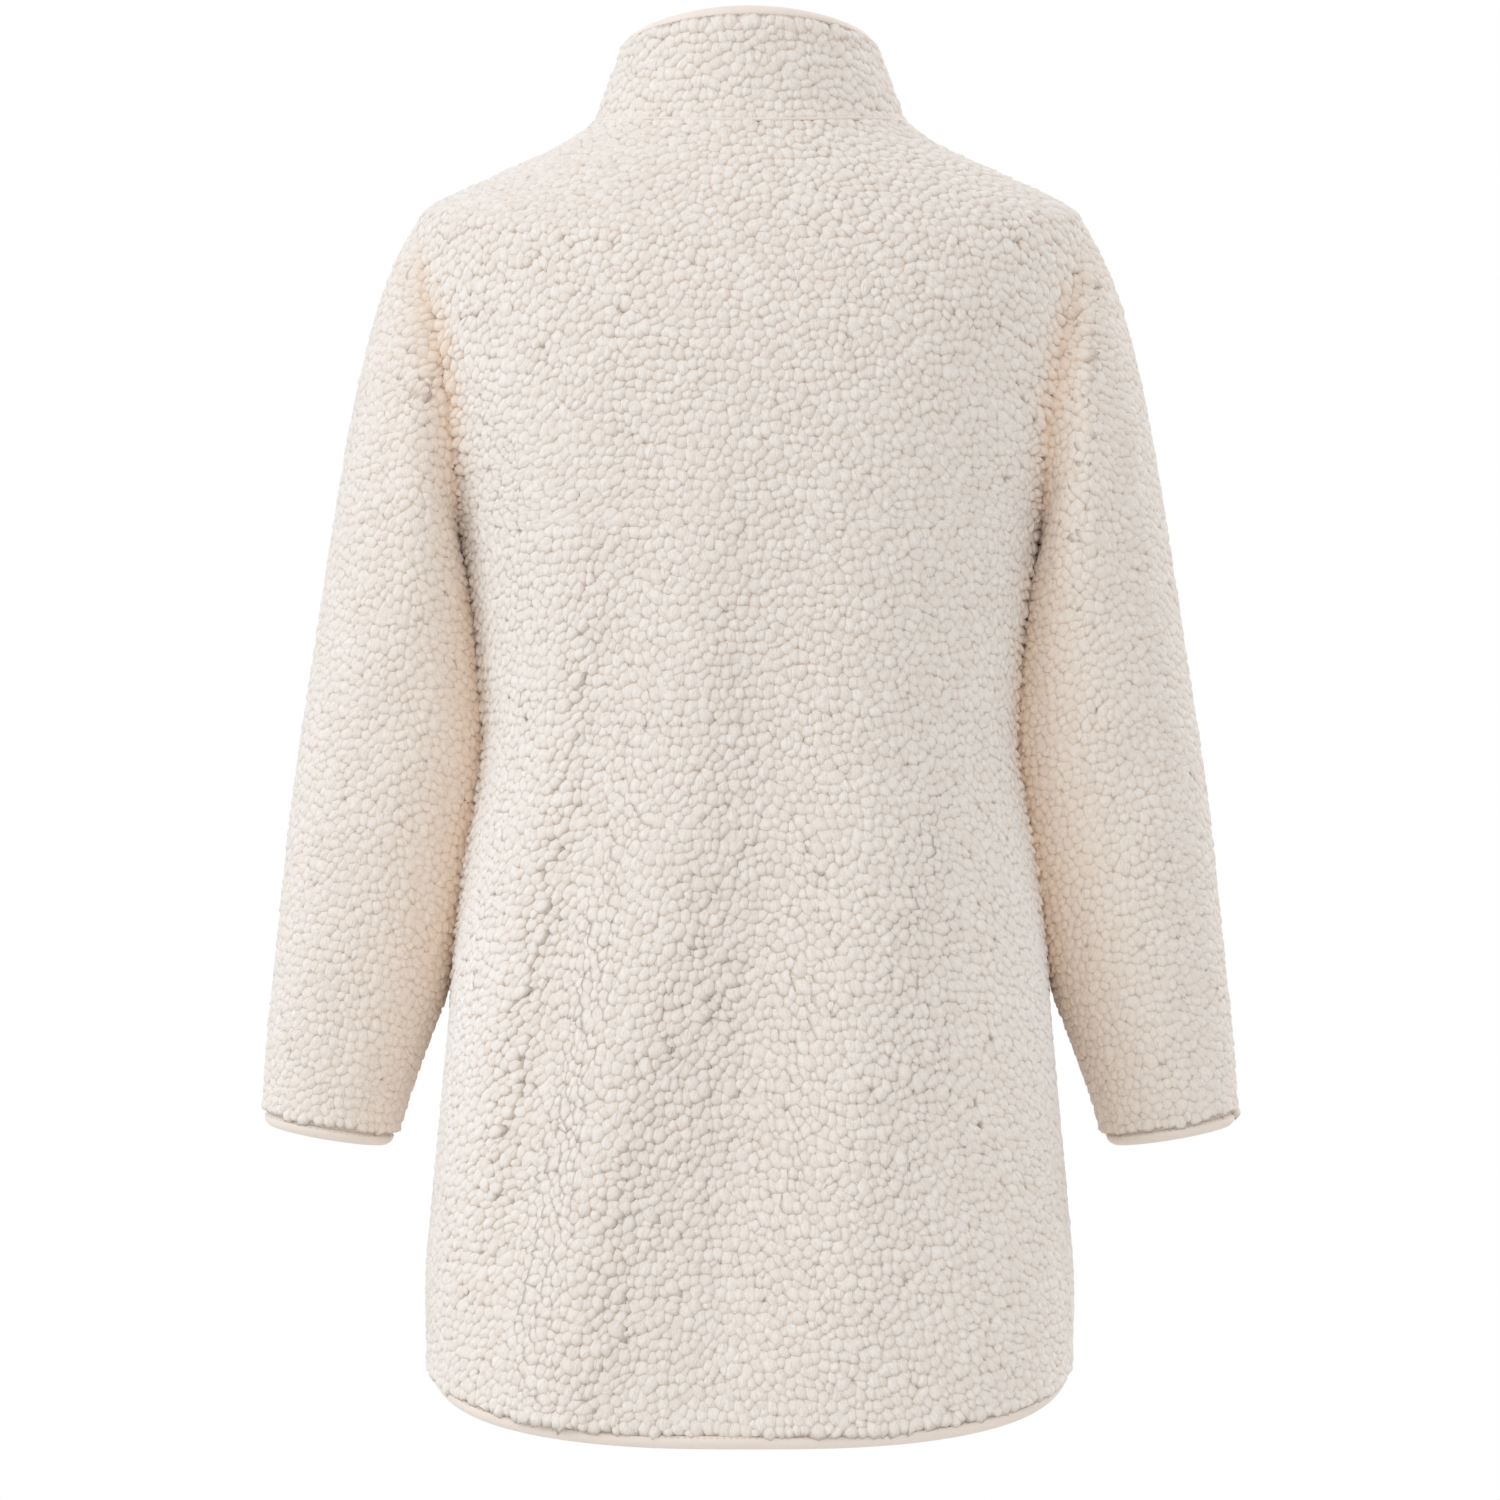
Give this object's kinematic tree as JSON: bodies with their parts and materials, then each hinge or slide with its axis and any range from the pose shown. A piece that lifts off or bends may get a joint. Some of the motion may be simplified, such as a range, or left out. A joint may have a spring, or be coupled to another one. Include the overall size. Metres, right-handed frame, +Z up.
{
  "type": "sherpa jacket",
  "caption": "Longline sherpa fleece jacket, filled out as worn, with a stand collar, long sleeves, curved hem, smooth bound edges and a front zip.",
  "frame": {"origin": "at the base of the neck, level with the side neck points, where the shoulders carry the jacket", "axes": "+Z up, the wearer faces -Y, the wearer's left arm is at +X"},
  "size_m": [0.606, 0.277, 0.8545],
  "materials": {
    "sherpa": "curly sherpa pile, matt",
    "binding": "smooth knitted binding, matt",
    "zip_tape": "woven tape",
    "zip_metal": "plated zinc, satin"
  },
  "bodies": {
    "jacket": {"back": "sherpa", "front_left": "sherpa", "front_right": "sherpa", "sleeve_left": "sherpa", "sleeve_right": "sherpa", "collar": "sherpa", "collar_binding": "binding", "hem_binding": "binding", "cuff_binding_left": "binding", "cuff_binding_right": "binding", "zip_tape_left": "zip_tape", "zip_tape_right": "zip_tape", "zip_slider": "zip_metal"},
    "pull_tab": {"zip_pull_tab": "zip_metal"}
  },
  "joints": [
    {"name": "pull_tab_swing", "type": "hinge", "parent": "jacket", "child": "pull_tab", "pos_m": [0, -0.06495, -0.01548], "axis": [-1, 0, 0], "range_deg": [0, 150]}
  ]
}
